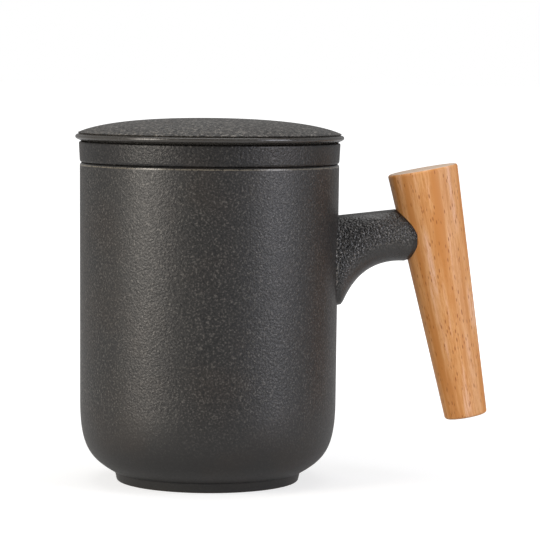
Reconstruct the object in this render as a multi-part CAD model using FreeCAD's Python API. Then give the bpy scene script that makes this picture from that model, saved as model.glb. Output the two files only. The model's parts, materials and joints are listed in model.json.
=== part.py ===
import FreeCAD, Part
import math
import os

# Lidded tea mug with a lift-out infuser and a wooden grip, in millimetres.
# The origin is on the mug's axis, in the plane that its foot stands on.
# +Z is up, and the handle points along +X.

# Mug body
rim_radius = 42.5
mug_height = 104.5
mug_wall = 4.3
wall_draft = 0.35            # the wall is this much narrower above the base curve
rim_rounding = 0.7
base_curve_height = 23.8     # from the foot step up to the straight wall
base_curve_rise = 30.0       # degrees, slope of the base where it leaves the foot
base_curve_poles = (0.71, 0.67)   # shares of its reach and height, from the foot and from the wall
mug_floor = 5.5
floor_flat_radius = 24.0
floor_curve_poles = (0.72, 0.68)

# Foot ring
foot_radius = 30.7           # outside, under the step
foot_height = 3.2
foot_taper = 0.75
foot_step = 0.5              # the base overhangs the foot by this much
foot_ring_width = 4.45
foot_recess_depth = 2.5
foot_rounding = 0.5

# Infuser collar, which stands on the rim
collar_height = 6.8
collar_flare = 0.35          # the collar is this much wider at its top
collar_width = 4.65
collar_top_rounding = 0.5
collar_foot_rounding = 1.0
lid_seat_depth = 4.5         # from the collar's top down to its inner shelf

# Infuser basket, which hangs inside the mug
shoulder_clearance = 0.6     # between the shoulder and the inside of the mug
shoulder_height = 6.5
shoulder_step = 1.0
basket_draft = 2.0
basket_wall = 2.8
basket_corner_radius = 6.0
basket_standoff = 34.0       # from the mug's floor up to the basket

# Drain holes
hole_diameter = 2.0
floor_hole_pitch = 6.0
side_hole_rows = 3
side_hole_columns = 24
side_hole_row_pitch = 9.0
first_side_row = 12.0        # above the underside of the basket
holes_per_ring = 6           # added by each ring of the floor

# Lid
lid_crown_height = 7.9       # from the collar's top to the top of the dome
lid_dome_radius = 210.0
lid_overhang = 1.18          # past the collar's top
lid_edge_height = 2.05       # height of the widest line above the seat
lid_edge_reach = 1.04        # from the widest line in to where the dome begins
lid_edge_return = 1.2        # from the widest line in to where the edge ends below
lid_edge_lift = 0.4          # from the seat up to where the edge ends below
lid_seat_inset = 1.75        # from the widest line in to the flat seat
lid_wall = 4.0
lid_ring_clearance = 0.75    # between the locating ring and the collar
lid_ring_gap = 0.5           # between the locating ring and the shelf
lid_ring_width = 3.45
lid_ring_rounding = 0.6

# Wooden grip
grip_length = 83.0
grip_top_radius = 11.6
grip_foot_radius = 7.0
grip_tilt = 10.8             # degrees, the foot leans away from the mug
grip_reach = 27.4            # from the rim's outside to the middle of the grip's top
grip_drop = 1.4              # the middle of the grip's top is this much below the rim
grip_rounding = 0.7

# Dowel between the grip and the boss, square to the grip
dowel_station = 20.0         # along the grip, from its top
dowel_radius = 5.0
dowel_in_grip = 12.0
dowel_chamfer = 1.0
flute_count = 12
flute_radius = 0.6
bore_clearance = 0.1         # between the dowel and the wood
end_clearance = 1.0          # past each end of the dowel

# Boss that carries the grip
boss_root_rise = 10.2        # from the dowel's axis up to the top of the root
boss_root_drop = 22.9        # from the dowel's axis down to the foot of the root
boss_end_height = 17.2
boss_end_width = 17.6
boss_root_width = 17.2
boss_web = 7.3               # ceramic left between the socket and the mug's wall
boss_poles = ((0.0, 1.0), (0.16, 0.33), (0.41, -0.16), (1.0, 0.0))
boss_sections = (-0.25, 0.0, 0.2, 0.4, 0.6, 0.8, 1.0, 1.2)
joint_line = 0.1             # slip or glue between two bonded faces

# Adhesive round the dowel in the socket
adhesive_wall = 0.5
adhesive_film = 0.05         # between the adhesive and what it bonds

# Sizes that follow from the ones above
floor_top = foot_recess_depth + mug_floor
base_curve_top = foot_height + base_curve_height
collar_top = mug_height + collar_height
shelf_top = collar_top - lid_seat_depth
mug_bore_radius = rim_radius - mug_wall
collar_top_radius = rim_radius + collar_flare
collar_bore_radius = collar_top_radius - collar_width
shoulder_radius = mug_bore_radius - shoulder_clearance
shoulder_foot = mug_height - shoulder_height
basket_top_radius = shoulder_radius - shoulder_step
basket_foot_radius = basket_top_radius - basket_draft
basket_foot = floor_top + basket_standoff
lid_ring_radius = collar_bore_radius - lid_ring_clearance
lid_ring_foot = shelf_top + lid_ring_gap
grip_top = FreeCAD.Vector(rim_radius + grip_reach, 0, mug_height - grip_drop)
grip_slope = (grip_top_radius - grip_foot_radius) / grip_length
grip_radius_at_dowel = grip_top_radius - dowel_station * grip_slope
socket_radius = dowel_radius + adhesive_wall


class Pen:
    """Draws a closed outline of radius against height, and spins it about Z."""

    def __init__(self, radius, height):
        self.start = (radius, height)
        self.place = (radius, height)
        self.edges = []

    def line(self, radius, height):
        self.edges.append(Part.makeLine(upright(self.place), upright((radius, height))))
        self.place = (radius, height)

    def arc(self, middle, end):
        ends = [upright(point) for point in (self.place, middle, end)]
        self.edges.append(Part.Arc(*ends).toShape())
        self.place = end

    def bezier(self, *poles):
        curve = Part.BezierCurve()
        curve.setPoles([upright(point) for point in (self.place,) + poles])
        self.edges.append(curve.toShape())
        self.place = poles[-1]

    def corner(self, corner, following, rounding):
        """Runs to a corner and rounds it towards the point that follows."""
        back = upright(self.place) - upright(corner)
        ahead = upright(following) - upright(corner)
        half_angle = back.getAngle(ahead) / 2
        back.normalize()
        ahead.normalize()
        inward = (back + ahead).normalize()
        reach = rounding / math.tan(half_angle)
        start = upright(corner) + back * reach
        end = upright(corner) + ahead * reach
        middle = upright(corner) + inward * (rounding / math.sin(half_angle) - rounding)
        self.line(start.x, start.z)
        self.arc((middle.x, middle.z), (end.x, end.z))

    def spin(self):
        self.line(*self.start)
        face = Part.Face(Part.Wire(self.edges))
        solid = face.revolve(FreeCAD.Vector(), FreeCAD.Vector(0, 0, 1), 360)
        if solid.Volume < 0:
            solid.reverse()
        return solid


def upright(point):
    """A point of an outline, as a vector in the XZ plane."""
    return FreeCAD.Vector(point[0], 0, point[1])


def bezier_point(poles, t):
    """The point at t on a cubic curve, which also runs on past both its ends."""
    weights = ((1 - t) ** 3, 3 * t * (1 - t) ** 2, 3 * t ** 2 * (1 - t), t ** 3)
    return tuple(sum(w * pole[axis] for w, pole in zip(weights, poles)) for axis in (0, 1))


def base_curve(pen, margin):
    """Draws the curved base, from the foot step up to the straight wall."""
    start_radius = foot_radius + foot_step
    end_radius = rim_radius - wall_draft + margin
    first_reach = base_curve_poles[0] * (end_radius - start_radius)
    first_rise = first_reach * math.tan(math.radians(base_curve_rise))
    last_drop = base_curve_poles[1] * base_curve_height
    pen.bezier(
        (start_radius + first_reach, foot_height + first_rise),
        (end_radius, base_curve_top - last_drop),
        (end_radius, base_curve_top),
    )


def mug_envelope(margin):
    """The space inside the mug's outer wall, grown by a margin."""
    pen = Pen(0, foot_height)
    pen.line(foot_radius + foot_step, foot_height)
    base_curve(pen, margin)
    pen.line(rim_radius + margin, mug_height)
    pen.line(0, mug_height)
    return pen.spin()


def mug_body():
    bore_foot_radius = mug_bore_radius - wall_draft
    ring_inner_radius = foot_radius - foot_ring_width - foot_taper
    foot_edge = (foot_radius - foot_taper, 0)
    ring_edge = (ring_inner_radius, 0)
    floor_reach = bore_foot_radius - floor_flat_radius
    floor_rise = base_curve_top - floor_top

    pen = Pen(0, foot_recess_depth)
    pen.line(ring_inner_radius, foot_recess_depth)
    pen.corner(ring_edge, foot_edge, foot_rounding)
    pen.corner(foot_edge, (foot_radius, foot_height), foot_rounding)
    pen.line(foot_radius, foot_height)
    pen.line(foot_radius + foot_step, foot_height)
    base_curve(pen, 0)
    pen.corner((rim_radius, mug_height), (mug_bore_radius, mug_height), rim_rounding)
    pen.corner((mug_bore_radius, mug_height), (bore_foot_radius, base_curve_top), rim_rounding)
    pen.line(bore_foot_radius, base_curve_top)
    pen.bezier(
        (bore_foot_radius, base_curve_top - floor_curve_poles[1] * floor_rise),
        (floor_flat_radius + floor_curve_poles[0] * floor_reach, floor_top),
        (floor_flat_radius, floor_top),
    )
    pen.line(0, floor_top)
    return pen.spin()


def drain_holes():
    """Cutters for the holes in the basket's floor and in its side."""
    radius = hole_diameter / 2
    cutters = []
    floor_reach = basket_foot_radius - basket_corner_radius - hole_diameter
    for ring in range(int(floor_reach / floor_hole_pitch) + 1):
        count = max(1, holes_per_ring * ring)
        for step in range(count):
            angle = 2 * math.pi * step / count
            centre = FreeCAD.Vector(math.cos(angle), math.sin(angle), 0) * (ring * floor_hole_pitch)
            centre.z = basket_foot - basket_wall
            cutters.append(Part.makeCylinder(radius, 3 * basket_wall, centre))
    for row in range(side_hole_rows):
        height = basket_foot + first_side_row + row * side_hole_row_pitch
        for column in range(side_hole_columns):
            angle = 2 * math.pi * (column + row / 2) / side_hole_columns
            outward = FreeCAD.Vector(math.cos(angle), math.sin(angle), 0)
            start = outward * (basket_foot_radius - 2 * basket_wall)
            start.z = height
            length = basket_draft + 3 * basket_wall
            cutters.append(Part.makeCylinder(radius, length, start, outward))
    return cutters


def infuser():
    inner_top_radius = basket_top_radius - basket_wall
    inner_foot_radius = basket_foot_radius - basket_wall
    inner_corner_radius = basket_corner_radius - basket_wall
    basket_floor_top = basket_foot + basket_wall

    pen = Pen(0, basket_foot)
    pen.corner(
        (basket_foot_radius, basket_foot),
        (basket_top_radius, shoulder_foot),
        basket_corner_radius,
    )
    pen.line(basket_top_radius, shoulder_foot)
    pen.line(shoulder_radius, shoulder_foot + shoulder_step)
    pen.line(shoulder_radius, mug_height)
    pen.corner((rim_radius, mug_height), (collar_top_radius, collar_top), collar_foot_rounding)
    pen.corner(
        (collar_top_radius, collar_top),
        (collar_bore_radius, collar_top),
        collar_top_rounding,
    )
    pen.corner(
        (collar_bore_radius, collar_top),
        (collar_bore_radius, shelf_top),
        collar_top_rounding,
    )
    pen.line(collar_bore_radius, shelf_top)
    pen.corner(
        (inner_top_radius, shelf_top),
        (inner_foot_radius, basket_floor_top),
        collar_top_rounding,
    )
    pen.corner((inner_foot_radius, basket_floor_top), (0, basket_floor_top), inner_corner_radius)
    pen.line(0, basket_floor_top)
    return pen.spin().cut(drain_holes())


def dome_height(radius, crown):
    """Height of the dome at a radius, under its crown."""
    return crown - lid_dome_radius + math.sqrt(lid_dome_radius ** 2 - radius ** 2)


def lid():
    crown = collar_top + lid_crown_height
    inner_crown = crown - lid_wall
    lid_radius = collar_top_radius + lid_overhang
    seat_radius = lid_radius - lid_seat_inset
    ring_bore_radius = lid_ring_radius - lid_ring_width
    edge_height = collar_top + lid_edge_height
    shoulder = lid_radius - lid_edge_reach
    under_edge = (lid_radius - lid_edge_return, collar_top + lid_edge_lift)
    half = shoulder / 2

    pen = Pen(0, crown)
    pen.arc((half, dome_height(half, crown)), (shoulder, dome_height(shoulder, crown)))
    pen.arc((lid_radius, edge_height), under_edge)
    pen.line(seat_radius, collar_top)
    pen.line(lid_ring_radius, collar_top)
    pen.corner(
        (lid_ring_radius, lid_ring_foot),
        (ring_bore_radius, lid_ring_foot),
        lid_ring_rounding,
    )
    ring_top = (ring_bore_radius, dome_height(ring_bore_radius, inner_crown))
    pen.corner((ring_bore_radius, lid_ring_foot), ring_top, lid_ring_rounding)
    pen.line(*ring_top)
    inner_half = ring_bore_radius / 2
    pen.arc((inner_half, dome_height(inner_half, inner_crown)), (0, inner_crown))
    return pen.spin()


def set_in_grip(shape):
    """Moves a shape from the grip's frame, with the grip's top at its origin, to its place."""
    turn = FreeCAD.Rotation(FreeCAD.Vector(0, 1, 0), -grip_tilt)
    shape.Placement = FreeCAD.Placement(grip_top, turn).multiply(shape.Placement)
    return shape


def dowel_rod(radius, start, end):
    """A rod on the dowel's axis between two distances from the grip's axis, towards the mug."""
    foot = FreeCAD.Vector(-start, 0, -dowel_station)
    return set_in_grip(Part.makeCylinder(radius, end - start, foot, FreeCAD.Vector(-1, 0, 0)))


def dowel_axis_height(x):
    """Height of the dowel's axis where it passes a distance along X."""
    tilt = math.radians(grip_tilt)
    meeting_x = grip_top.x + dowel_station * math.sin(tilt)
    meeting_z = grip_top.z - dowel_station * math.cos(tilt)
    return meeting_z + (x - meeting_x) * math.tan(tilt)


def dowel_ends():
    """Distances from the grip's axis to the dowel's end in the wood and its end in the boss."""
    tilt = math.radians(grip_tilt)
    meeting_x = grip_top.x + dowel_station * math.sin(tilt)
    wall_distance = (meeting_x - rim_radius) / math.cos(tilt)
    inner = grip_radius_at_dowel - dowel_in_grip
    return inner, wall_distance - boss_web - end_clearance


def grip_blank(margin):
    """The tapered grip without its bore, grown by a margin."""
    top_radius = grip_top_radius + margin
    foot_radius_grown = grip_foot_radius + margin
    pen = Pen(0, margin)
    pen.corner((top_radius, margin), (foot_radius_grown, -grip_length - margin), grip_rounding)
    pen.corner(
        (foot_radius_grown, -grip_length - margin),
        (0, -grip_length - margin),
        grip_rounding,
    )
    pen.line(0, -grip_length - margin)
    return set_in_grip(pen.spin())


def handle_grip():
    inner, outer = dowel_ends()
    bore = dowel_rod(dowel_radius + bore_clearance, inner - end_clearance, outer)
    return grip_blank(0).cut(bore)


def grip_dowel():
    inner, outer = dowel_ends()
    length = outer - inner
    pen = Pen(0, 0)
    pen.line(dowel_radius - dowel_chamfer, 0)
    pen.line(dowel_radius, dowel_chamfer)
    pen.line(dowel_radius, length - dowel_chamfer)
    pen.line(dowel_radius - dowel_chamfer, length)
    pen.line(0, length)
    flutes = []
    for step in range(flute_count):
        angle = 2 * math.pi * step / flute_count
        centre = FreeCAD.Vector(math.cos(angle), math.sin(angle), 0) * dowel_radius
        flutes.append(Part.makeCylinder(flute_radius, length, centre))
    dowel = pen.spin().cut(flutes)
    lie = FreeCAD.Rotation(FreeCAD.Vector(0, 1, 0), -90)
    dowel.Placement = FreeCAD.Placement(FreeCAD.Vector(-inner, 0, -dowel_station), lie)
    return set_in_grip(dowel)


def boss_section(t, x_root, x_end):
    """The oval section of the boss at t along its lower edge."""
    share, extra = bezier_point(boss_poles, t)
    x = x_root + share * (x_end - x_root)
    axis = dowel_axis_height(x)
    end_half = boss_end_height / 2
    low = axis - end_half - extra * (boss_root_drop - end_half)
    high = axis + end_half + (1 - share) * (boss_root_rise - end_half)
    half_width = (boss_root_width + share * (boss_end_width - boss_root_width)) / 2
    oval = Part.makeCircle(1, FreeCAD.Vector(), FreeCAD.Vector(1, 0, 0))
    scale = FreeCAD.Matrix()
    scale.scale(FreeCAD.Vector(1, half_width, (high - low) / 2))
    scale.move(FreeCAD.Vector(x, 0, (high + low) / 2))
    return Part.Wire(oval.toNurbs().transformGeometry(scale).Edges)


def handle_boss():
    inner, outer = dowel_ends()
    meeting = set_in_grip(Part.Vertex(FreeCAD.Vector(0, 0, -dowel_station))).Point
    x_end = meeting.x - grip_radius_at_dowel
    ovals = [boss_section(t, rim_radius, x_end) for t in boss_sections]
    boss = Part.makeLoft(ovals, True, False)
    boss = boss.cut(mug_envelope(joint_line))
    boss = boss.cut(grip_blank(joint_line))
    boss = boss.cut(dowel_rod(socket_radius, inner, outer + end_clearance))
    return max(boss.Solids, key=lambda solid: solid.Volume)


def grip_adhesive():
    """A cup of adhesive that lines the socket and closes behind the dowel."""
    inner, outer = dowel_ends()
    start = grip_radius_at_dowel + joint_line
    cup = dowel_rod(socket_radius - adhesive_film, start, outer + end_clearance - adhesive_film)
    hollow = dowel_rod(dowel_radius + adhesive_film, inner, outer + adhesive_film)
    return cup.cut(hollow).cut(grip_blank(joint_line))


PIECES = {
    "mug_body": mug_body,
    "handle_boss": handle_boss,
    "handle_grip": handle_grip,
    "grip_dowel": grip_dowel,
    "grip_adhesive": grip_adhesive,
    "infuser": infuser,
    "lid": lid,
}


def main():
    os.makedirs("parts", exist_ok=True)
    for name, make in PIECES.items():
        shape = make()
        if len(shape.Solids) != 1 or not shape.isValid():
            raise ValueError(f"{name} is not one valid solid")
        solid = shape.Solids[0]
        solid.exportStep(f"parts/{name}.step")
        box = solid.optimalBoundingBox(False, False)
        print(
            f"{name}: {solid.Volume / 1000:.2f} cm3, x {box.XMin:.2f} to {box.XMax:.2f},"
            f" y {box.YMin:.2f} to {box.YMax:.2f}, z {box.ZMin:.2f} to {box.ZMax:.2f}"
        )


main()
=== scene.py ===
"""Looks of a stoneware tea mug with a lid, a lift-out infuser and a turned beech grip.

Each piece is turned, lofted or drilled with mesh operators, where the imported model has
it. Sizes are in millimetres, and become metres as a mesh is made.
"""

import json
import logging
import math
from dataclasses import dataclass, field
from enum import Enum

import bmesh
import bpy
from bmesh.types import BMesh, BMVert
from bpy.types import Material, Node, NodeSocket, NodeTree, Object
from mathutils import Matrix, Vector

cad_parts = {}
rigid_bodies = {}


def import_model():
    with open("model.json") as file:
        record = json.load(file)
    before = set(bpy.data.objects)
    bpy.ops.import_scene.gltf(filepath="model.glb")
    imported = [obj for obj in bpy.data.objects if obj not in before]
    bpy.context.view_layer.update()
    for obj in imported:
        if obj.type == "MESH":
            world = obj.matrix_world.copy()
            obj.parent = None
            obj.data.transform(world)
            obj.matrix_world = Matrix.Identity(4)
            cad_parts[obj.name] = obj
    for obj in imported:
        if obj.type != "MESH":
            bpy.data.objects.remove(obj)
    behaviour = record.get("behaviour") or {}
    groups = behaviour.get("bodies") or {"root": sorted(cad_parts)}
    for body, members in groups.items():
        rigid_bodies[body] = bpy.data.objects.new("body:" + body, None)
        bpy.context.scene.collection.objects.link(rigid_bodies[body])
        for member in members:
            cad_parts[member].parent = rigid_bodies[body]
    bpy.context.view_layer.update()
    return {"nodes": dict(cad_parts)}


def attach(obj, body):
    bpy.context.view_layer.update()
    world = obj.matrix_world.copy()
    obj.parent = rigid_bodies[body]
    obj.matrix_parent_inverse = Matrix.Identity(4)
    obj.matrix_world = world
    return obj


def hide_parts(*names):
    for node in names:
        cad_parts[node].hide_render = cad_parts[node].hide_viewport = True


Pair = tuple[float, float]
LOG = logging.getLogger("tea_mug")
MM = 0.001
TURNED_SEGMENTS = 192
TURNED_WELD = 1e-7
DRILLED_WELD = 2e-6
CRISP_DEG = 40.0
WAVE_PERIOD = 0.314  # length of one wave of the wave texture at a scale of 1
WHITE = (1.0, 1.0, 1.0, 1.0)


class Slot(Enum):
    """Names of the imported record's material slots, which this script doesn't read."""

    BODY = "body_glaze"
    BOSS = "boss_glaze"
    COLLAR = "collar_glaze"
    LID = "lid_glaze"
    GRIP = "beech_grip"


class Ray(Enum):
    """Kinds of ray that the studio tells apart, by the Light Path node's output."""

    CAMERA = "Is Camera Ray"
    GLOSSY = "Is Glossy Ray"
    TRANSMISSION = "Is Transmission Ray"


def linear(hex_colour: str) -> tuple[float, float, float, float]:
    """Turn a colour from sRGB hex to linear values.

    Args:
        hex_colour: six hex digits after a hash sign.

    Returns:
        Red, green, blue and an alpha of 1.
    """
    digits = hex_colour.lstrip("#")
    values = [int(digits[i : i + 2], 16) / 255 for i in (0, 2, 4)]
    bent = [v / 12.92 if v <= 0.04045 else ((v + 0.055) / 1.055) ** 2.4 for v in values]
    return (*bent, 1.0)


def feed(tree: NodeTree, node: Node, inputs: dict) -> None:
    """Set or link a node's inputs.

    Args:
        tree: node tree of a material or of the world.
        node: node of that tree.
        inputs: a value or a socket to link from, by the input's name or number.
    """
    for socket, value in inputs.items():
        if isinstance(value, NodeSocket):
            tree.links.new(value, node.inputs[socket])
        else:
            node.inputs[socket].default_value = value


def add_node(tree: NodeTree, kind: str, settings: dict | None = None,
             inputs: dict | None = None) -> Node:
    """Add a node with its settings, values and links.

    Args:
        tree: node tree of a material or of the world.
        kind: Blender's name for the type of node.
        settings: attributes of the node, by name.
        inputs: what goes into it, as feed takes it.

    Returns:
        The new node.
    """
    node = tree.nodes.new(kind)
    for name, value in (settings or {}).items():
        setattr(node, name, value)
    feed(tree, node, inputs or {})
    return node


def maths(tree: NodeTree, operation: str, *values: object) -> NodeSocket:
    """Work out one sum, product or the like from numbers or sockets."""
    node = add_node(tree, "ShaderNodeMath", {"operation": operation}, dict(enumerate(values)))
    return node.outputs[0]


def eased(tree: NodeTree, value: NodeSocket, low: float, high: float) -> NodeSocket:
    """Rise smoothly from 0 at one value to 1 at another, which may be the lower one.

    Args:
        tree: node tree that the step goes into.
        value: socket that is compared.
        low: value that gives 0.
        high: value that gives 1.

    Returns:
        The socket that holds the share.
    """
    settings = {"interpolation_type": "SMOOTHSTEP"}
    if low > high:
        rising = eased(tree, value, high, low)
        return maths(tree, "SUBTRACT", 1.0, rising)
    inputs = {"Value": value, "From Min": low, "From Max": high}
    return add_node(tree, "ShaderNodeMapRange", settings, inputs).outputs["Result"]


def blended(tree: NodeTree, share: object, first: object, second: object) -> NodeSocket:
    """Blend two colours, each a socket or sRGB hex digits.

    Args:
        tree: node tree that the blend goes into.
        share: how much of the second colour there is.
        first: colour at a share of 0.
        second: colour at a share of 1.

    Returns:
        The socket that holds the blend.
    """
    first, second = (linear(v) if isinstance(v, str) else v for v in (first, second))
    inputs = {0: share, 6: first, 7: second}
    return add_node(tree, "ShaderNodeMix", {"data_type": "RGBA"}, inputs).outputs[2]


def product(tree: NodeTree, first: object, second: object) -> NodeSocket:
    """Multiply two values, each a number or a socket."""
    return maths(tree, "MULTIPLY", first, second)


def lifted(tree: NodeTree, share: object, low: float) -> NodeSocket:
    """Raise a share that runs from 0 to 1, so that it runs from a low value to 1."""
    return maths(tree, "MULTIPLY_ADD", share, 1 - low, low)


def height_of(tree: NodeTree, point: NodeSocket) -> NodeSocket:
    """Read the Z part of a point or a direction."""
    return add_node(tree, "ShaderNodeSeparateXYZ", None, {0: point}).outputs[2]


def length_of(tree: NodeTree, point: NodeSocket) -> NodeSocket:
    """Measure how far a point is from the origin of its frame."""
    node = add_node(tree, "ShaderNodeVectorMath", {"operation": "LENGTH"}, {0: point})
    return node.outputs["Value"]


def from_axis(tree: NodeTree, point: NodeSocket) -> NodeSocket:
    """Measure how far a point is from the Z axis of its frame."""
    level = add_node(tree, "ShaderNodeVectorMath", {"operation": "MULTIPLY"}, {
        0: point, 1: (1.0, 1.0, 0.0)}).outputs[0]
    return length_of(tree, level)


def stretched(tree: NodeTree, point: NodeSocket, scale: tuple[float, ...]) -> NodeSocket:
    """Scale a point along each of its three axes."""
    return add_node(tree, "ShaderNodeMapping", None, {
        "Vector": point, "Scale": scale}).outputs[0]


def object_mm(tree: NodeTree) -> NodeSocket:
    """Read the surface's point in its object's own frame, in millimetres."""
    place = add_node(tree, "ShaderNodeTexCoord").outputs["Object"]
    return stretched(tree, place, (1 / MM,) * 3)


def noise(tree: NodeTree, point: NodeSocket, scale: float, detail: float = 2.0,
          roughness: float = 0.5) -> NodeSocket:
    """Add fractal noise, with as many waves in one unit of the point as its scale."""
    return add_node(tree, "ShaderNodeTexNoise", None, {
        "Vector": point, "Scale": scale, "Detail": detail, "Roughness": roughness}).outputs[0]


def relief(tree: NodeTree, height: NodeSocket, depth_mm: float,
           strength: object = 1.0) -> NodeSocket:
    """Bend the normal to fine relief, whose strength is a number or a socket."""
    return add_node(tree, "ShaderNodeBump", None, {
        "Strength": strength, "Distance": depth_mm * MM, "Height": height}).outputs[0]


def placed(name: str, data: bpy.types.ID) -> Object:
    """Make an object and link it to the scene.

    Args:
        name: name of the object.
        data: mesh, lamp or camera that it shows.

    Returns:
        The new object.
    """
    thing = bpy.data.objects.new(name, data)
    bpy.context.scene.collection.objects.link(thing)
    return thing


def poured(mesh: BMesh, name: str) -> bpy.types.Mesh:
    """Turn a worked mesh into mesh data.

    Args:
        mesh: the worked mesh, which is freed.
        name: name of the data.

    Returns:
        The mesh data.
    """
    data = bpy.data.meshes.new(name)
    mesh.to_mesh(data)
    mesh.free()
    return data


@dataclass
class Outline:
    """Half section of a turned piece, drawn in millimetres as radius and height."""

    points: list[Vector]
    support: float = 0.25
    shortest: float = 1.0

    def line(self, radius: float, height: float, stride: float = 4.0) -> None:
        """Run straight to a point, with supports by both ends to keep the shading even.

        Args:
            radius: radius of the end.
            height: height of the end.
            stride: longest step between points.
        """
        start, end = self.points[-1], Vector((radius, height))
        length = (end - start).length
        if length > self.shortest:
            near = self.support / length
            steps = max(1, round((1 - 2 * near) * length / stride))
            shares = [near + (1 - 2 * near) * i / steps for i in range(steps + 1)]
            self.points += [start.lerp(end, share) for share in shares]
        self.points.append(end)

    def bezier(self, *poles: Pair, steps: int = 28) -> None:
        """Run along a cubic curve, given its two inner poles and its end."""
        hull = [self.points[-1], *map(Vector, poles)]
        self.points += [cubic(hull, i / steps) for i in range(1, steps + 1)]

    def arc(self, middle: Pair, end: Pair, steps: int = 8) -> None:
        """Run along the circle through a middle point and an end.

        Args:
            middle: any point of the arc.
            end: last point of the arc.
            steps: steps along the arc.
        """
        a, b, c = self.points[-1], Vector(middle), Vector(end)
        d = 2 * (a.x * (b.y - c.y) + b.x * (c.y - a.y) + c.x * (a.y - b.y))
        squares = (a.length_squared, b.length_squared, c.length_squared)
        centre = Vector((
            (squares[0] * (b.y - c.y) + squares[1] * (c.y - a.y) + squares[2] * (a.y - b.y)) / d,
            (squares[0] * (c.x - b.x) + squares[1] * (a.x - c.x) + squares[2] * (b.x - a.x)) / d,
        ))
        spoke = a - centre
        turn = signed_turn(spoke, b - centre) + signed_turn(b - centre, c - centre)
        for i in range(1, steps + 1):
            angle = turn * i / steps
            self.points.append(centre + Matrix.Rotation(angle, 2) @ spoke)

    def corner(self, radius: float, height: float, following: Pair, rounding: float,
               steps: int = 6) -> None:
        """Run to a corner and round it towards the point that follows.

        Args:
            radius: radius of the corner.
            height: height of the corner.
            following: the next point of the outline.
            rounding: radius of the rounding.
            steps: steps round the corner.
        """
        corner = Vector((radius, height))
        back = (self.points[-1] - corner).normalized()
        ahead = (Vector(following) - corner).normalized()
        half_angle = back.angle(ahead) / 2
        inward = (back + ahead).normalized()
        reach = rounding / math.tan(half_angle)
        middle = corner + inward * (rounding / math.sin(half_angle) - rounding)
        self.line(*(corner + back * reach))
        self.arc(middle, corner + ahead * reach, steps)

    def spin(self) -> BMesh:
        """Turn the outline about Z into a closed shell.

        Returns:
            The shell, in metres.
        """
        mesh = bmesh.new()
        verts = [mesh.verts.new((point.x * MM, 0, point.y * MM)) for point in self.points]
        edges = [mesh.edges.new(pair) for pair in zip(verts, verts[1:])]
        bmesh.ops.spin(mesh, geom=verts + edges, cent=(0, 0, 0), axis=(0, 0, 1),
                       dvec=(0, 0, 0), angle=math.tau, steps=TURNED_SEGMENTS,
                       use_merge=True)
        bmesh.ops.remove_doubles(mesh, verts=mesh.verts, dist=TURNED_WELD)
        bmesh.ops.recalc_face_normals(mesh, faces=mesh.faces)
        return mesh


def signed_turn(first: Vector, second: Vector) -> float:
    """Angle from one flat vector to another, positive anticlockwise."""
    return math.atan2(first.x * second.y - first.y * second.x, first.dot(second))


def cubic(hull: list[Vector], t: float) -> Vector:
    """Point at t on a cubic curve, which also runs on past both its ends."""
    s = 1 - t
    return s**3 * hull[0] + 3 * t * s**2 * hull[1] + 3 * t**2 * s * hull[2] + t**3 * hull[3]


def finished(mesh: BMesh, name: str, body: str, node: str,
             materials: list[Material]) -> Object:
    """Make a mesh into a piece that rides on a body and stands for a node.

    Args:
        mesh: the shape, in place and in metres, which is freed.
        name: name of the piece.
        body: body that it rides on.
        node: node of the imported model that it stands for.
        materials: Blender materials, in the order of the faces' numbers.

    Returns:
        The new object.
    """
    for face in mesh.faces:
        face.smooth = True
    data = poured(mesh, name)
    data.set_sharp_from_angle(angle=math.radians(CRISP_DEG))
    piece = placed(name, data)
    for material in materials:
        data.materials.append(material)
    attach(piece, body)
    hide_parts(node)
    LOG.info("%s: %d faces on %s", name, len(data.polygons), body)
    return piece


def drilled(piece: Object, cutters: BMesh) -> None:
    """Cut a closed mesh out of a piece for good.

    Args:
        piece: the piece that is cut.
        cutters: the shapes that are taken away, which are freed.
    """
    data = poured(cutters, "cutters")
    tool = placed("cutters", data)
    cut = piece.modifiers.new("holes", "BOOLEAN")
    cut.object = tool
    cut.operation = "DIFFERENCE"
    cut.solver = "EXACT"
    bpy.context.view_layer.update()
    depsgraph = bpy.context.evaluated_depsgraph_get()
    whole = piece.data
    piece.data = bpy.data.meshes.new_from_object(piece.evaluated_get(depsgraph))
    piece.modifiers.clear()
    bpy.data.objects.remove(tool)
    bpy.data.meshes.remove(data)
    bpy.data.meshes.remove(whole)
    tidy = bmesh.new()
    tidy.from_mesh(piece.data)
    bmesh.ops.remove_doubles(tidy, verts=tidy.verts, dist=DRILLED_WELD)
    bmesh.ops.dissolve_degenerate(tidy, edges=tidy.edges, dist=DRILLED_WELD)
    bmesh.ops.triangulate(tidy, faces=[face for face in tidy.faces if len(face.verts) > 4])
    tidy.to_mesh(piece.data)
    tidy.free()


@dataclass(frozen=True)
class Finish:
    """A finish that is built as a node material.

    Where a field is called a reach, a part of the look comes in from its first value to
    its second.
    """

    name: str

    def make(self) -> Material:
        """Build the material.

        Returns:
            The finish as a node material.
        """
        material = bpy.data.materials.new(self.name)
        material.use_nodes = True
        tree = material.node_tree
        feed(tree, tree.nodes["Principled BSDF"], self.look(tree))
        return material

    def look(self, tree: NodeTree) -> dict[str, object]:
        """Work out what goes into the surface of the material.

        Args:
            tree: node tree of the material.

        Returns:
            A value or a socket for each input of the surface that isn't left as it is.
        """
        raise NotImplementedError


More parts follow.
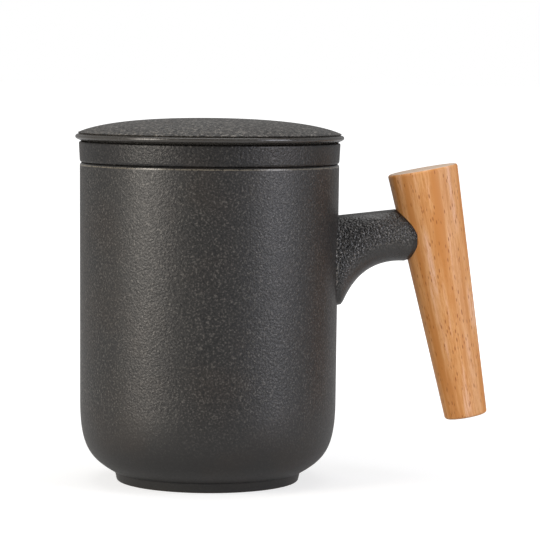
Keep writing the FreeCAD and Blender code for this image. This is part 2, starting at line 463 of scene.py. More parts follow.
@dataclass(frozen=True)
class SandGlaze(Finish):
    """Matte charcoal iron glaze, sprayed on stoneware so that it fires to a sandy skin.

    The eye sees a near-black ground with light and dark grains about half a millimetre
    wide, pebbles that catch the light, and a satin sheen where the skin lies smooth.
    """

    ground: str = "#242322"
    grain: str = "#575450"
    hollow: str = "#0f0f0f"
    warm: str = "#2e2721"
    roughness: float = 0.43
    sheen_level: float = 0.59
    grain_width_mm: float = 0.5
    grain_waves: float = 0.8
    grain_gloss: float = 0.2
    grain_relief: float = 0.8
    grain_reach: Pair = (0.52, 0.72)
    hollow_reach: Pair = (0.5, 0.32)
    clouds_per_mm: float = 0.045
    warm_reach: Pair = (0.42, 0.7)
    warm_share: float = 0.5
    pebble_spacing_mm: float = 0.75
    pebble_depth_mm: float = 0.07
    drifts_per_mm: float = 0.9
    drift_mm: float = 0.5
    calm_mm: Pair | None = None
    calm_share: float = 0.12
    polish_mm: Pair | None = None
    polish: float = 0.2

    def look(self, tree: NodeTree) -> dict[str, object]:
        """Speckle a pebbly ground and let gloss follow the grain, as Finish.look says."""
        in_mm = object_mm(tree)
        mottle = noise(tree, in_mm, self.grain_waves / self.grain_width_mm, roughness=0.6)
        lively = self.lively(tree, in_mm)
        rough = maths(tree, "MULTIPLY_ADD", mottle, -self.grain_gloss,
                      self.roughness + self.grain_gloss / 2)
        if self.polish_mm is not None:
            smooth = eased(tree, height_of(tree, in_mm), *self.polish_mm)
            rough = maths(tree, "MULTIPLY_ADD", smooth, -self.polish, rough)
            lively = product(tree, lively, maths(tree, "SUBTRACT", 1.0, smooth))

        clouds = noise(tree, in_mm, self.clouds_per_mm, detail=3.0)
        warmth = product(tree, eased(tree, clouds, *self.warm_reach), self.warm_share)
        dark = product(tree, eased(tree, mottle, *self.hollow_reach), lively)
        light = product(tree, eased(tree, mottle, *self.grain_reach), lively)
        colour = blended(tree, warmth, self.ground, self.warm)
        colour = blended(tree, dark, colour, self.hollow)
        colour = blended(tree, light, colour, self.grain)

        drift = add_node(tree, "ShaderNodeTexNoise", None, {
            "Vector": in_mm, "Scale": self.drifts_per_mm, "Detail": 2.0}).outputs["Color"]
        wander = add_node(tree, "ShaderNodeVectorMath", {"operation": "MULTIPLY_ADD"}, {
            0: drift, 1: (self.drift_mm,) * 3, 2: in_mm}).outputs[0]
        cells = add_node(tree, "ShaderNodeTexVoronoi", None, {
            "Vector": wander, "Scale": 1 / self.pebble_spacing_mm}).outputs["Distance"]
        pebbles = maths(tree, "SUBTRACT", 1.0, cells)
        skin = maths(tree, "MULTIPLY_ADD", mottle, self.grain_relief, pebbles)
        return {"Base Color": self.edged(tree, in_mm, mottle, colour), "Roughness": rough,
                "Specular IOR Level": self.sheen_level,
                "Normal": relief(tree, skin, self.pebble_depth_mm, lively)}

    def lively(self, tree: NodeTree, in_mm: NodeSocket) -> NodeSocket | float:
        """Say how sandy the skin is, since it ran smooth low down on a piece.

        Args:
            tree: node tree of the material.
            in_mm: point of the surface, in millimetres.

        Returns:
            A share, from smooth to sandy.
        """
        if self.calm_mm is None:
            return 1.0
        return lifted(tree, eased(tree, height_of(tree, in_mm), *self.calm_mm), self.calm_share)

    def edged(self, tree: NodeTree, in_mm: NodeSocket, mottle: NodeSocket,
              colour: NodeSocket) -> NodeSocket:
        """Colour the places where the glaze meets something, where subclasses add painted
        highlight and painted shade; plain glaze has none.
        """
        return colour


@dataclass(frozen=True)
class RimGlaze(SandGlaze):
    """The body's glaze, with a paler line where it breaks over the rim, which is also a painted
    highlight on the rim's rounding.
    """

    rim_height_mm: float = 103.75
    break_highlight_reach_mm: Pair = (0.3, 0.09)
    break_highlight_grain: Pair = (0.36, 0.5)
    # The pale rim line is partly the glaze's break and partly a painted highlight on the rim's
    # rounding.
    break_highlight_colour: str = "#6f695e"

    def edged(self, tree: NodeTree, in_mm: NodeSocket, mottle: NodeSocket,
              colour: NodeSocket) -> NodeSocket:
        """Draw the pale line along the rim, part glaze break and part painted highlight, as
        SandGlaze.edged says.
        """
        above = maths(tree, "SUBTRACT", height_of(tree, in_mm), self.rim_height_mm)
        band = eased(tree, maths(tree, "ABSOLUTE", above), *self.break_highlight_reach_mm)
        break_and_highlight = product(tree, band, eased(tree, mottle, *self.break_highlight_grain))
        return blended(tree, break_and_highlight, colour, self.break_highlight_colour)


@dataclass(frozen=True)
class BareStoneware(Finish):
    """Unglazed stoneware where the foot ring was wiped clean, dark brown and dry."""

    name: str = "bare_stoneware"
    colour: str = "#57493e"
    grit: str = "#2f2722"
    grit_per_mm: float = 1.8
    grit_reach: Pair = (0.6, 0.4)
    grit_depth_mm: float = 0.08
    roughness: float = 0.85

    def look(self, tree: NodeTree) -> dict[str, object]:
        """Show dry clay with dark grit, as Finish.look says."""
        clay = noise(tree, object_mm(tree), self.grit_per_mm, detail=5.0, roughness=0.7)
        gritty = eased(tree, clay, *self.grit_reach)
        return {"Base Color": blended(tree, gritty, self.colour, self.grit),
                "Roughness": self.roughness,
                "Normal": relief(tree, clay, self.grit_depth_mm)}


@dataclass(frozen=True)
class GripPlace:
    """Where the grip stands, which its shape and its grain share."""

    top_mm: tuple[float, float, float] = (69.9, 0.0, 103.1)
    tilt_deg: float = 10.8

    def matrix(self) -> Matrix:
        """Move from the grip's own frame to the mug's, in metres."""
        turn = Matrix.Rotation(-math.radians(self.tilt_deg), 4, "Y")
        return Matrix.Translation(Vector(self.top_mm) * MM) @ turn

    def own_mm(self, tree: NodeTree) -> NodeSocket:
        """Read the surface's point in the grip's own frame, in millimetres."""
        place = add_node(tree, "ShaderNodeTexCoord").outputs["Object"]
        return add_node(tree, "ShaderNodeMapping", {"vector_type": "TEXTURE"}, {
            "Vector": place,
            "Location": tuple(v * MM for v in self.top_mm),
            "Rotation": (0, -math.radians(self.tilt_deg), 0),
            "Scale": (MM,) * 3}).outputs[0]


@dataclass(frozen=True)
class BossGlaze(SandGlaze):
    """Glaze that crawled into coarse glinting pebbles on the boss, smooth underneath.

    A pale bead along the root is pooled glaze and also a painted highlight on the seam, and a dark
    line at the wood is glue that is also painted shade at the joint.
    """

    place: GripPlace = GripPlace()
    calm_share: float = 0.15
    under_reach: Pair = (-0.6, -0.1)
    top_reach: Pair = (0.98, 0.6)
    wood_radius_mm: float = 11.6
    wood_taper: float = 0.0554
    # The dark line at the wood is partly glue and partly painted shade where the boss meets the
    # wood.
    glue_shade_reach_mm: Pair = (0.8, 0.5)
    glue_shade_ragged_mm: float = 1.2
    glue_shade_colour: str = "#160d08"
    wall_radius_mm: float = 42.4
    # The pale line along the root is partly pooled glaze and partly a painted highlight along the
    # seam.
    bead_highlight_reach_mm: Pair = (0.75, 0.3)
    bead_highlight_top_mm: Pair = (82.0, 79.0)
    bead_highlight_foot_mm: Pair = (62.0, 68.0)
    bead_highlight_grain: Pair = (0.46, 0.6)
    bead_highlight_colour: str = "#8f8a82"

    def lively(self, tree: NodeTree, in_mm: NodeSocket) -> NodeSocket | float:
        """Leave the underside and the top smooth, as SandGlaze.lively says."""
        facing = add_node(tree, "ShaderNodeNewGeometry").outputs["True Normal"]
        upward = height_of(tree, facing)
        sandy = product(tree, eased(tree, upward, *self.under_reach),
                        eased(tree, upward, *self.top_reach))
        return lifted(tree, sandy, self.calm_share)

    def edged(self, tree: NodeTree, in_mm: NodeSocket, mottle: NodeSocket,
              colour: NodeSocket) -> NodeSocket:
        """Draw the bead at the root, part pooled glaze and part painted highlight, and the dark
        line at the wood, part glue and part painted shade, as SandGlaze.edged says.
        """
        height = height_of(tree, in_mm)
        beyond_wall = maths(tree, "SUBTRACT", from_axis(tree, in_mm), self.wall_radius_mm)
        span = product(tree, eased(tree, height, *self.bead_highlight_top_mm),
                       eased(tree, height, *self.bead_highlight_foot_mm))
        bead_highlight = product(tree, eased(tree, beyond_wall, *self.bead_highlight_reach_mm), span)
        beaded_highlight = product(tree, bead_highlight, eased(tree, mottle, *self.bead_highlight_grain))
        colour = blended(tree, beaded_highlight, colour, self.bead_highlight_colour)

        own = self.place.own_mm(tree)
        wood = maths(tree, "MULTIPLY_ADD", height_of(tree, own), self.wood_taper,
                     self.wood_radius_mm)
        off_wood = maths(tree, "SUBTRACT", from_axis(tree, own), wood)
        ragged_glue_shade = maths(tree, "MULTIPLY_ADD", mottle, -self.glue_shade_ragged_mm, off_wood)
        return blended(tree, eased(tree, ragged_glue_shade, *self.glue_shade_reach_mm), colour,
                       self.glue_shade_colour)


@dataclass(frozen=True)
class TurnedBeech(Finish):
    """Steamed beech turned on a lathe and oiled.

    The eye sees an even orange tan, broad soft stripes along the grain, and short dark
    ray flecks that are a few millimetres long.
    """

    name: str = "turned_beech"
    place: GripPlace = GripPlace()
    tan: str = "#e5a96e"
    pale: str = "#efbe9a"
    deep: str = "#d28b47"
    fleck: str = "#ab5f26"
    along: tuple[float, float, float] = (1.0, 1.0, 0.06)
    stripes_per_mm: float = 0.3
    tan_reach: Pair = (0.38, 0.58)
    pale_reach: Pair = (0.56, 0.7)
    threads_per_mm: float = 2.2
    thread_reach: Pair = (0.58, 0.38)
    thread_share: float = 0.75
    thread_roughness: float = 0.25
    roughness: float = 0.38
    fleck_width_mm: float = 0.8
    fleck_length_mm: float = 2.8
    fleck_reach: Pair = (0.36, 0.14)
    fleck_chance: Pair = (0.1, 0.7)
    fleck_share: float = 0.85
    fleck_dip: float = 0.4
    relief_mm: float = 0.05
    relief_share: float = 0.8

    def look(self, tree: NodeTree) -> dict[str, object]:
        """Run stripes and threads lengthwise and scatter flecks, as Finish.look says."""
        own = self.place.own_mm(tree)
        lengthwise = stretched(tree, own, self.along)
        stripes = noise(tree, lengthwise, self.stripes_per_mm)
        threads = noise(tree, lengthwise, self.threads_per_mm, detail=4.0, roughness=0.75)
        dim = product(tree, eased(tree, threads, *self.thread_reach), self.thread_share)
        colour = blended(tree, eased(tree, stripes, *self.tan_reach), self.deep, self.tan)
        colour = blended(tree, eased(tree, stripes, *self.pale_reach), colour, self.pale)
        colour = blended(tree, dim, colour, self.deep)

        cells = stretched(tree, own, (1.0, 1.0, self.fleck_width_mm / self.fleck_length_mm))
        rays = add_node(tree, "ShaderNodeTexVoronoi", None, {
            "Vector": cells, "Scale": 1 / self.fleck_width_mm})
        chance = add_node(tree, "ShaderNodeSeparateColor", None, {0: rays.outputs["Color"]})
        fleck = product(tree, eased(tree, rays.outputs["Distance"], *self.fleck_reach),
                        eased(tree, chance.outputs[0], *self.fleck_chance))
        colour = blended(tree, product(tree, fleck, self.fleck_share), colour, self.fleck)
        rough = maths(tree, "MULTIPLY_ADD", threads, self.thread_roughness, self.roughness)
        grain = maths(tree, "SUBTRACT", threads, product(tree, fleck, self.fleck_dip))
        return {"Base Color": colour, "Roughness": rough,
                "Normal": relief(tree, grain, self.relief_mm, self.relief_share)}


@dataclass(frozen=True)
class BeechEndGrain(Finish):
    """Sawn and sanded end of the beech, paler and drier, with fine arcs and pores."""

    name: str = "beech_end_grain"
    place: GripPlace = GripPlace()
    pale: str = "#d9c2ad"
    ring: str = "#c19d7d"
    pore: str = "#a77f5d"
    roughness: float = 0.6
    ring_spacing_mm: float = 2.2
    ring_reach: Pair = (0.6, 1.0)
    ring_share: float = 0.7
    pith_mm: Pair = (-24.0, 17.0)
    pores_per_mm: float = 2.2
    pore_reach: Pair = (0.3, 0.1)
    pore_share: float = 0.5
    relief_mm: float = 0.04
    relief_share: float = 0.6

    def look(self, tree: NodeTree) -> dict[str, object]:
        """Draw rings about a pith beside the grip, and pores, as Finish.look says."""
        own = self.place.own_mm(tree)
        from_pith = add_node(tree, "ShaderNodeMapping", None, {
            "Vector": own, "Location": (-self.pith_mm[0], -self.pith_mm[1], 0),
            "Scale": (1.0, 1.0, 0.0)}).outputs[0]
        waves = add_node(tree, "ShaderNodeTexWave", {
            "wave_type": "RINGS", "rings_direction": "Z"}, {
            "Vector": from_pith, "Scale": WAVE_PERIOD / self.ring_spacing_mm,
            "Distortion": 1.2, "Detail": 2.0, "Detail Scale": 0.6}).outputs[0]
        pores = add_node(tree, "ShaderNodeTexVoronoi", None, {
            "Vector": own, "Scale": self.pores_per_mm}).outputs["Distance"]
        ringed = product(tree, eased(tree, waves, *self.ring_reach), self.ring_share)
        pitted = product(tree, eased(tree, pores, *self.pore_reach), self.pore_share)
        colour = blended(tree, ringed, self.pale, self.ring)
        return {"Base Color": blended(tree, pitted, colour, self.pore),
                "Roughness": self.roughness,
                "Normal": relief(tree, pores, self.relief_mm, self.relief_share)}


@dataclass(frozen=True)
class ClearAdhesive(Finish):
    """Cured epoxy, amber and glossy, squeezed between the dowel and its socket."""

    name: str = "cured_epoxy"
    colour: str = "#c9ad78"
    cloudy: str = "#e0d0a8"
    hazes_per_mm: float = 0.4
    roughness: float = 0.25
    ior: float = 1.55

    def look(self, tree: NodeTree) -> dict[str, object]:
        """Show glossy amber with a little haze, as Finish.look says."""
        haze = noise(tree, object_mm(tree), self.hazes_per_mm)
        return {"Base Color": blended(tree, haze, self.colour, self.cloudy),
                "Roughness": self.roughness, "IOR": self.ior}


def by_ray(tree: NodeTree, seen: object, mirrored: object, lighting: object) -> NodeSocket:
    """Choose a value by how the thing is looked at.

    Args:
        tree: node tree of the floor or the world.
        seen: value or socket for the eye itself.
        mirrored: value or socket for a mirror or glass.
        lighting: value or socket for the light that it gives.

    Returns:
        The socket that holds the choice.
    """
    path = add_node(tree, "ShaderNodeLightPath")
    glossy, through = (path.outputs[ray.value] for ray in (Ray.GLOSSY, Ray.TRANSMISSION))
    either = maths(tree, "MAXIMUM", glossy, through)
    inner = add_node(tree, "ShaderNodeMix", {"data_type": "FLOAT"}, {
        0: either, 2: lighting, 3: mirrored}).outputs[0]
    return add_node(tree, "ShaderNodeMix", {"data_type": "FLOAT"}, {
        0: path.outputs[Ray.CAMERA.value], 2: inner, 3: seen}).outputs[0]


@dataclass(frozen=True)
class StudioPaper(Finish):
    """White paper that glows a little, and more away from the mug, so that it reads white."""

    name: str = "studio_paper"
    colour: str = "#b4b4b4"
    roughness: float = 0.9
    glow: float = 0.68
    glow_mirrored: float = 0.18
    near_reach: Pair = (0.1, 0.5)

    def look(self, tree: NodeTree) -> dict[str, object]:
        """Add the glow to plain paper with no sheen, as Finish.look says."""
        place = add_node(tree, "ShaderNodeTexCoord").outputs["Object"]
        seen = lifted(tree, eased(tree, length_of(tree, place), *self.near_reach), self.glow)
        glow = add_node(tree, "ShaderNodeEmission", None, {
            "Color": WHITE, "Strength": by_ray(tree, seen, self.glow_mirrored, 0.0)})
        both = add_node(tree, "ShaderNodeAddShader", None, {
            0: tree.nodes["Principled BSDF"].outputs[0], 1: glow.outputs[0]})
        feed(tree, tree.nodes["Material Output"], {0: both.outputs[0]})
        return {"Base Color": linear(self.colour), "Roughness": self.roughness,
                "Specular IOR Level": 0.0}


@dataclass
class MugBody:
    """Straight stoneware beaker with a curved base, a turned foot ring and a bare foot."""

    rim_radius: float = 42.5
    height: float = 104.5
    wall: float = 4.3
    draft: float = 0.35
    rim_rounding: float = 0.9
    foot_radius: float = 30.7
    foot_height: float = 3.2
    foot_taper: float = 0.75
    foot_step: float = 0.5
    foot_ring_width: float = 4.45
    recess_depth: float = 2.5
    floor: float = 5.5
    base_height: float = 23.8
    base_rise_deg: float = 30.0
    base_poles: Pair = (0.71, 0.67)
    floor_flat_radius: float = 24.0
    floor_poles: Pair = (0.72, 0.68)
    foot_rounding: float = 0.5
    bare_height: float = 0.3

    def outline(self) -> Outline:
        """Draw the section from the recess under the foot, over the rim, to the floor.

        Returns:
            The half section.
        """
        base_top = self.foot_height + self.base_height
        outer = self.rim_radius - self.draft
        bore = self.rim_radius - self.wall
        bore_foot = bore - self.draft
        floor_top = self.recess_depth + self.floor
        step = self.foot_radius + self.foot_step
        ring_inner = self.foot_radius - self.foot_ring_width - self.foot_taper
        foot_edge = (self.foot_radius - self.foot_taper, 0.0)
        first_reach = self.base_poles[0] * (outer - step)
        first_rise = first_reach * math.tan(math.radians(self.base_rise_deg))
        floor_rise = base_top - floor_top
        line = Outline([Vector((0, self.recess_depth))])
        line.line(ring_inner, self.recess_depth)
        line.corner(ring_inner, 0, foot_edge, self.foot_rounding)
        line.corner(*foot_edge, (self.foot_radius, self.foot_height), self.foot_rounding)
        line.line(self.foot_radius, self.foot_height)
        line.line(step, self.foot_height)
        line.bezier(
            (step + first_reach, self.foot_height + first_rise),
            (outer, base_top - self.base_poles[1] * self.base_height),
            (outer, base_top))
        line.corner(self.rim_radius, self.height, (bore, self.height), self.rim_rounding)
        line.corner(bore, self.height, (bore_foot, base_top), self.rim_rounding)
        line.line(bore_foot, base_top)
        line.bezier(
            (bore_foot, base_top - self.floor_poles[1] * floor_rise),
            (self.floor_flat_radius + self.floor_poles[0] * (bore_foot - self.floor_flat_radius),
             floor_top),
            (self.floor_flat_radius, floor_top))
        line.line(0, floor_top)
        return line

    def build(self, glaze: Material, clay: Material) -> Object:
        """Turn the mug and leave the clay bare where the foot stands.

        Args:
            glaze: finish of the whole mug but its foot.
            clay: finish of the foot's standing face.

        Returns:
            The mug's body.
        """
        mesh = self.outline().spin()
        for face in mesh.faces:
            if face.calc_center_median().z < self.bare_height * MM:
                face.material_index = 1
        return finished(mesh, "mug_beaker", "mug", "mug_body", [glaze, clay])


@dataclass
class GripBoss:
    """Stoneware stub between the wall and the grip, lofted through oval sections."""

    grip: GripPlace
    mug: MugBody
    dowel_station: float = 20.0
    grip_radius: float = 10.49
    root_rise: float = 10.2
    root_drop: float = 22.9
    end_height: float = 17.2
    end_width: float = 17.6
    root_width: float = 17.2
    lower_edge: tuple[Pair, ...] = (
        (0.0, 1.0), (0.16, 0.33), (0.41, -0.16), (1.0, 0.0))
    blunt_share: float = 0.76
    blunt_rounding: float = 0.12
    first_section: float = -0.25
    last_section: float = 1.12
    glue_width: float = 0.7
    glue_depth: float = 0.38
    sections: int = 120
    sides: int = 72

    def section(self, t: float) -> tuple[float, float, float, float]:
        """Size the oval at one place along the lower edge.

        Args:
            t: share of the way from the wall to the wood.

        Returns:
            The oval's place along X, its middle height, half its height and half its width.
        """
        tilt = math.radians(self.grip.tilt_deg)
        meeting = Vector(self.grip.top_mm) + self.dowel_station * Vector(
            (math.sin(tilt), 0, -math.cos(tilt)))
        x_root = self.mug.rim_radius
        x_end = meeting.x - self.grip_radius
        share, extra = cubic([Vector(pole) for pole in self.lower_edge], t)
        overlap = max(self.blunt_rounding - abs(extra - self.blunt_share), 0)
        extra = min(extra, self.blunt_share) - overlap**2 / (4 * self.blunt_rounding)
        x = x_root + share * (x_end - x_root)
        axis = meeting.z + (x - meeting.x) * math.tan(tilt)
        end_half = self.end_height / 2
        low = axis - end_half - extra * (self.root_drop - end_half)
        high = axis + end_half + (1 - share) * (self.root_rise - end_half)
        half_width = (self.root_width + share * (self.end_width - self.root_width)) / 2
        return x, (low + high) / 2, (high - low) / 2, half_width

    def pinch(self, ring: list[BMVert], centre: Vector) -> None:
        """Draw an oval in where it meets the wood, for the dark groove of glue there.

        Args:
            ring: points of the oval.
            centre: middle of the oval, in metres.
        """
        to_grip = self.grip.matrix().inverted()
        for vert in ring:
            local = to_grip @ vert.co / MM
            off_wood = math.hypot(local.x, local.y) - self.grip_radius
            share = min(max(1 - off_wood / self.glue_width, 0), 1)
            vert.co -= (vert.co - centre).normalized() * self.glue_depth * share * MM

    def build(self, glaze: Material) -> Object:
        """Bridge the ovals into one closed stub, with both ends inside what they join.

        Args:
            glaze: finish of the stub.

        Returns:
            The boss.
        """
        mesh = bmesh.new()
        rings = []
        span = self.last_section - self.first_section
        upright = Matrix.Rotation(math.pi / 2, 4, "Y")
        for i in range(self.sections + 1):
            t = self.first_section + span * i / self.sections
            x, middle, half_height, half_width = self.section(t)
            size = Matrix.Diagonal((1, half_width * MM, half_height * MM, 1))
            place = Matrix.Translation((x * MM, 0, middle * MM)) @ size @ upright
            circle = bmesh.ops.create_circle(mesh, segments=self.sides, radius=1, matrix=place)
            rings.append(circle["verts"])
            self.pinch(circle["verts"], Vector((x, 0, middle)) * MM)
        for first, second in zip(rings, rings[1:]):
            edges = {edge for vert in first + second for edge in vert.link_edges
                     if len(edge.link_faces) < 2}
            bmesh.ops.bridge_loops(mesh, edges=[
                edge for edge in edges
                if all(v in first for v in edge.verts) or all(v in second for v in edge.verts)])
        for ring in (rings[0], rings[-1]):
            bmesh.ops.contextual_create(mesh, geom=ring)
        bmesh.ops.recalc_face_normals(mesh, faces=mesh.faces)
        return finished(mesh, "grip_boss", "mug", "handle_boss", [glaze])


@dataclass
class WoodenGrip:
    """Tapered round grip with softened ends, leaning out towards its foot."""

    place: GripPlace
    length: float = 83.0
    top_radius: float = 11.6
    foot_radius: float = 7.0
    rounding: float = 0.9
    end_slope: float = 0.8

    def build(self, beech: Material, end_grain: Material) -> Object:
        """Turn the grip, show end grain on its ends and set it beside the mug.

        Args:
            beech: finish of the long grain.
            end_grain: finish of the two ends.

        Returns:
            The grip.
        """
        line = Outline([Vector((0, -self.length))])
        line.corner(self.foot_radius, -self.length, (self.top_radius, 0), self.rounding)
        line.corner(self.top_radius, 0, (0, 0), self.rounding)
        line.line(0, 0)
        mesh = line.spin()
        for face in mesh.faces:
            if abs(face.normal.z) > self.end_slope:
                face.material_index = 1
        bmesh.ops.transform(mesh, matrix=self.place.matrix(), verts=mesh.verts)
        return finished(mesh, "wooden_grip", "mug", "handle_grip",
                        [beech, end_grain])


@dataclass
class Infuser:
    """Collar that stands on the rim, with a drilled basket that hangs in the mug."""

    mug: MugBody
    collar_height: float = 6.8
    collar_flare: float = 0.35
    collar_width: float = 4.65
    top_rounding: float = 0.5
    foot_rounding: float = 1.0
    seat_depth: float = 4.5
    shoulder_clearance: float = 0.6
    shoulder_height: float = 6.5
    shoulder_step: float = 1.0
    draft: float = 2.0
    wall: float = 2.8
    corner_radius: float = 6.0
    standoff: float = 34.0
    hole_radius: float = 1.0
    hole_sides: int = 20
    overcut: float = 3.0
    floor_pitch: float = 6.0
    holes_per_ring: int = 6
    floor_rings: int = 5
    side_rows: int = 3
    side_columns: int = 24
    side_pitch: float = 9.0
    first_side_row: float = 12.0
    collar_top: float = field(init=False)
    bore_radius: float = field(init=False)
    basket_foot: float = field(init=False)

    def __post_init__(self) -> None:
        """Work out the heights and radii that the lid and the holes need."""
        self.collar_top = self.mug.height + self.collar_height
        self.bore_radius = self.mug.rim_radius + self.collar_flare - self.collar_width
        self.basket_foot = self.mug.recess_depth + self.mug.floor + self.standoff

    def basket_radius(self, top: bool) -> float:
        """Outer radius of the basket at its top or at its foot."""
        shoulder = self.mug.rim_radius - self.mug.wall - self.shoulder_clearance
        return shoulder - self.shoulder_step - (0 if top else self.draft)

    def outline(self) -> Outline:
        """Draw the section from the basket's underside, over the collar, to its floor.

        Returns:
            The half section.
        """
        rim, top = self.mug.rim_radius, self.collar_top
        shoulder = rim - self.mug.wall - self.shoulder_clearance
        shoulder_foot = self.mug.height - self.shoulder_height
        outer_top, outer_foot = self.basket_radius(True), self.basket_radius(False)
        shelf = top - self.seat_depth
        floor_top = self.basket_foot + self.wall
        line = Outline([Vector((0, self.basket_foot))])
        line.corner(outer_foot, self.basket_foot, (outer_top, shoulder_foot),
                    self.corner_radius, steps=12)
        line.line(outer_top, shoulder_foot, stride=2.0)
        line.line(shoulder, shoulder_foot + self.shoulder_step)
        line.line(shoulder, self.mug.height)
        line.corner(rim, self.mug.height, (rim + self.collar_flare, top), self.foot_rounding)
        line.corner(rim + self.collar_flare, top, (self.bore_radius, top), self.top_rounding)
        line.corner(self.bore_radius, top, (self.bore_radius, shelf), self.top_rounding)
        line.line(self.bore_radius, shelf)
        line.corner(outer_top - self.wall, shelf, (outer_foot - self.wall, floor_top),
                    self.top_rounding)
        line.corner(outer_foot - self.wall, floor_top, (0, floor_top),
                    self.corner_radius - self.wall, steps=8)
        line.line(0, floor_top)
        return line

    def drills(self) -> BMesh:
        """Set out a short rod for each drain hole.

        Returns:
            All the rods as one mesh, in metres.
        """
        mesh = bmesh.new()
        depth = self.overcut * self.wall
        outward = Matrix.Rotation(math.pi / 2, 4, "Y")
        for ring in range(self.floor_rings):
            count = max(1, self.holes_per_ring * ring)
            for step in range(count):
                turn = Matrix.Rotation(math.tau * step / count, 4, "Z")
                place = Vector((ring * self.floor_pitch * MM, 0,
                                (self.basket_foot + self.wall / 2) * MM))
                self.rod(mesh, turn @ Matrix.Translation(place), depth)
        for row in range(self.side_rows):
            height = self.basket_foot + self.first_side_row + row * self.side_pitch
            for column in range(self.side_columns):
                angle = math.tau * (column + row / 2) / self.side_columns
                place = Vector(((self.basket_radius(False) - self.wall / 2) * MM, 0, height * MM))
                turn = Matrix.Rotation(angle, 4, "Z")
                self.rod(mesh, turn @ Matrix.Translation(place) @ outward, depth + self.draft)
        return mesh

    def rod(self, mesh: BMesh, place: Matrix, length: float) -> None:
        """Add one rod along the Z axis of its place.

        Args:
            mesh: mesh that the rod joins.
            place: middle and direction of the rod, in metres.
            length: length of the rod, in millimetres.
        """
        radius = self.hole_radius * MM
        bmesh.ops.create_cone(mesh, cap_ends=True, segments=self.hole_sides, radius1=radius,
                              radius2=radius, depth=length * MM, matrix=place)

    def build(self, glaze: Material) -> Object:
        """Turn the infuser and drill its basket.

        Args:
            glaze: finish of the infuser.

        Returns:
            The infuser.
        """
        piece = finished(self.outline().spin(), "infuser_basket", "infuser", "infuser",
                         [glaze])
        drilled(piece, self.drills())
        return piece


@dataclass
class Lid:
    """Low domed disc with a rolled edge and a ring underneath that finds the collar.

    Each point of the edge is its inset from the widest line and its rise over the seat.
    """

    infuser: Infuser
    crown_height: float = 7.9
    dome_radius: float = 210.0
    overhang: float = 1.18
    fullness: tuple[float, float, float] = (0.5, 0.84, 0.36)
    brink: Pair = (0.8, 3.0)
    groove: Pair = (1.2, 2.62)
    edge_head: Pair = (0.55, 2.42)
    edge_height: float = 1.75
    edge_return: Pair = (0.4, 1.0)
    edge_foot: Pair = (1.5, 0.45)
    seat_inset: float = 2.3
    wall: float = 4.0
    ring_clearance: float = 0.75
    ring_gap: float = 0.5
    ring_width: float = 3.45
    ring_rounding: float = 0.6

    def dome(self, radius: float, crown: float) -> Pair:
        """Point of the dome at a radius, under its crown."""
        return radius, crown - self.dome_radius + math.sqrt(self.dome_radius**2 - radius**2)

    def outline(self) -> Outline:
        """Draw the section from the crown, round the edge, to the hollow underneath.

        Returns:
            The half section.
        """
        seat = self.infuser.collar_top
        crown = seat + self.crown_height
        widest = self.infuser.mug.rim_radius + self.infuser.collar_flare + self.overhang
        brink, groove, edge_head, edge_end, edge_foot = (
            Vector((widest - inset, seat + rise)) for inset, rise in
            (self.brink, self.groove, self.edge_head, self.edge_return, self.edge_foot))
        ring = self.infuser.bore_radius - self.ring_clearance
        ring_bore = ring - self.ring_width
        ring_foot = seat - self.infuser.seat_depth + self.ring_gap
        ring_top = self.dome(ring_bore, crown - self.wall)
        line = Outline([Vector((0, crown))])
        near, far, drop = self.fullness
        line.bezier((near * brink.x, crown), (far * brink.x, crown - drop * (crown - brink.y)),
                    tuple(brink))
        line.line(*groove)
        line.line(*edge_head)
        line.arc((widest, seat + self.edge_height), tuple(edge_end), steps=12)
        line.line(*edge_foot)
        line.line(widest - self.seat_inset, seat)
        line.line(ring, seat)
        line.corner(ring, ring_foot, (ring_bore, ring_foot), self.ring_rounding)
        line.corner(ring_bore, ring_foot, ring_top, self.ring_rounding)
        line.line(*ring_top)
        line.arc(self.dome(ring_bore / 2, crown - self.wall), (0, crown - self.wall), steps=16)
        return line

    def build(self, glaze: Material) -> Object:
        """Turn the lid."""
        return finished(self.outline().spin(), "lid_disc", "lid", "lid", [glaze])


@dataclass(frozen=True)
class Softbox:
    """A flat soft lamp that looks at the mug."""

    name: str
    azimuth_deg: float
    level: float
    colour: str = "#ffffff"
    height: float = 0.4
    distance: float = 1.2
    width: float = 0.5
    tall: float = 1.1

    def place(self, target: Vector) -> None:
        """Hang the lamp.

        Args:
            target: point that the lamp looks at, in metres.
        """
        turn = math.radians(self.azimuth_deg)
        stand = Vector((math.sin(turn), -math.cos(turn), 0)) * self.distance
        stand.z = self.height
        data = bpy.data.lights.new(self.name, "AREA")
        data.shape = "RECTANGLE"
        data.size, data.size_y = self.width, self.tall
        away = (stand - target).length
        data.energy = self.level * math.pi**2 * away**2
        data.color = linear(self.colour)[:3]
        lamp = placed(self.name, data)
        lamp.location = stand
        lamp.rotation_mode = "QUATERNION"
        lamp.rotation_quaternion = (target - stand).to_track_quat("-Z", "Y")


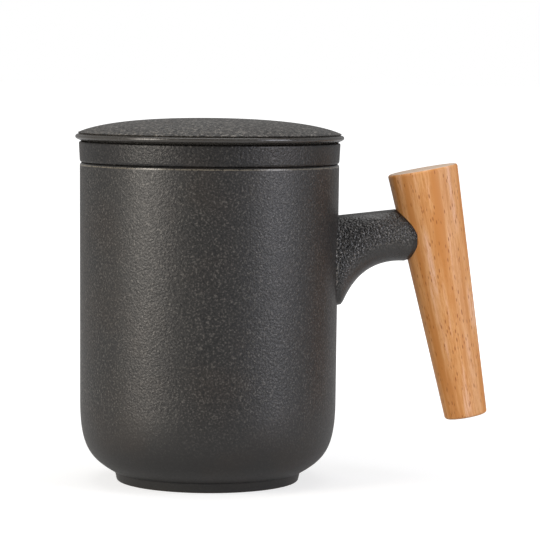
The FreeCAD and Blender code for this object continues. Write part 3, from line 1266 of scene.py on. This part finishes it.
@dataclass
class Studio:
    """White sweep, soft lamps and the camera at the photograph's angle."""

    target: Vector = field(default_factory=lambda: Vector((0.02, 0, 0.06)))
    floor_size: float = 60.0
    floor_drop: float = 0.0001
    paper: StudioPaper = StudioPaper()
    room_level: float = 0.38
    room_front: float = 0.08
    room_behind: float = 0.34
    behind_reach: Pair = (-0.45, 0.25)
    lens_mm: float = 169.76
    sensor_mm: float = 36.0
    camera_away: float = 0.83564
    camera_height: float = 0.13379
    pitch_deg: float = 4.393
    yaw_deg: float = 1.378
    roll_deg: float = 0.529
    lamps: tuple[Softbox, ...] = (
        Softbox("left_softbox", azimuth_deg=-56, level=0.93, colour="#fff8ee"),
        Softbox("right_softbox", azimuth_deg=60, level=0.64, colour="#f6f6ff"),
        Softbox("top_softbox", azimuth_deg=180, level=0.3, height=1.3, distance=0.25,
                width=0.9, tall=0.9),
    )

    def build(self) -> None:
        """Lay the floor, light it and set up the camera."""
        self.lay_floor()
        self.fill_room()
        for lamp in self.lamps:
            lamp.place(self.target)
        self.set_camera()
        bpy.context.scene.view_settings.view_transform = "Standard"

    def lay_floor(self) -> None:
        """Lay a sheet of white paper."""
        mesh = bmesh.new()
        bmesh.ops.create_grid(mesh, x_segments=1, y_segments=1, size=self.floor_size / 2,
                              matrix=Matrix.Translation((0, 0, -self.floor_drop)))
        floor = placed("paper_floor", poured(mesh, "paper_floor"))
        floor.data.materials.append(self.paper.make())

    def fill_room(self) -> None:
        """Surround the mug with a room that is white behind it and darker in front."""
        world = bpy.data.worlds.new("white_room")
        bpy.context.scene.world = world
        world.use_nodes = True
        tree = world.node_tree
        aim = add_node(tree, "ShaderNodeTexCoord").outputs["Generated"]
        depth = add_node(tree, "ShaderNodeSeparateXYZ", None, {0: aim}).outputs[1]
        behind = eased(tree, depth, *self.behind_reach)
        mirrored = maths(tree, "MULTIPLY_ADD", behind, self.room_behind - self.room_front,
                         self.room_front)
        feed(tree, tree.nodes["Background"], {
            "Color": WHITE, "Strength": by_ray(tree, 1.0, mirrored, self.room_level)})

    def set_camera(self) -> None:
        """Stand the camera where the photograph was taken from."""
        pitch, yaw, roll = (math.radians(v) for v in (self.pitch_deg, self.yaw_deg, self.roll_deg))
        data = bpy.data.cameras.new("camera")
        data.lens = self.lens_mm
        data.sensor_width = self.sensor_mm
        camera = placed("camera", data)
        turn = (Matrix.Rotation(-yaw, 4, "Z") @ Matrix.Rotation(math.pi / 2 - pitch, 4, "X")
                @ Matrix.Rotation(roll, 4, "Z"))
        camera.matrix_world = Matrix.Translation((0, -self.camera_away, self.camera_height)) @ turn
        bpy.context.scene.camera = camera


def clear_scene() -> None:
    """Take away what a new file starts with."""
    for thing in list(bpy.data.objects):
        bpy.data.objects.remove(thing)


def main() -> None:
    """Build the mug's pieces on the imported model, then the studio round them."""
    logging.basicConfig(level=logging.INFO, format="%(name)s %(message)s")
    clear_scene()
    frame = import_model()

    body_glaze = RimGlaze("body_sand_glaze", calm_mm=(9.0, 32.0), polish_mm=(103.3, 103.7))
    # The boss's lighter ground and light grain are partly painted sheen and painted glints on its
    # pebbly glaze.
    boss_glaze = BossGlaze("boss_pebble_glaze_and_sheen", ground="#353433", grain="#75716c",
                           roughness=0.34, sheen_level=0.8, grain_gloss=0.5,
                           pebble_depth_mm=0.36)
    # The collar's glaze is the body's glaze with a darker ground, as painted shade where the
    # collar faces down.
    collar_glaze = SandGlaze("collar_sand_glaze_painted_shade", ground="#191818", grain="#45423f",
                             sheen_level=0.5, pebble_depth_mm=0.1)
    # The lid's glaze is the body's glaze with a lighter ground and grain, as painted light on the
    # lid's top.
    lid_glaze = SandGlaze("lid_sand_glaze_painted_light", ground="#3f3d3a", grain="#827d76",
                          hollow="#151515", roughness=0.42, sheen_level=0.6,
                          grain_gloss=0.5, grain_width_mm=0.8, pebble_spacing_mm=1.1,
                          pebble_depth_mm=0.5, polish_mm=(114.4, 113.8))

    mug = MugBody()
    mug.build(body_glaze.make(), BareStoneware().make())
    grip_place = GripPlace()
    beech = TurnedBeech(place=grip_place).make()
    GripBoss(grip_place, mug).build(boss_glaze.make())
    WoodenGrip(grip_place).build(beech, BeechEndGrain(place=grip_place).make())
    infuser = Infuser(mug)
    infuser.build(collar_glaze.make())
    Lid(infuser).build(lid_glaze.make())
    for node, material in (("grip_dowel", beech), ("grip_adhesive", ClearAdhesive().make())):
        frame["nodes"][node].data.materials.clear()
        frame["nodes"][node].data.materials.append(material)

    Studio().build()


if __name__ == "__main__":
    main()
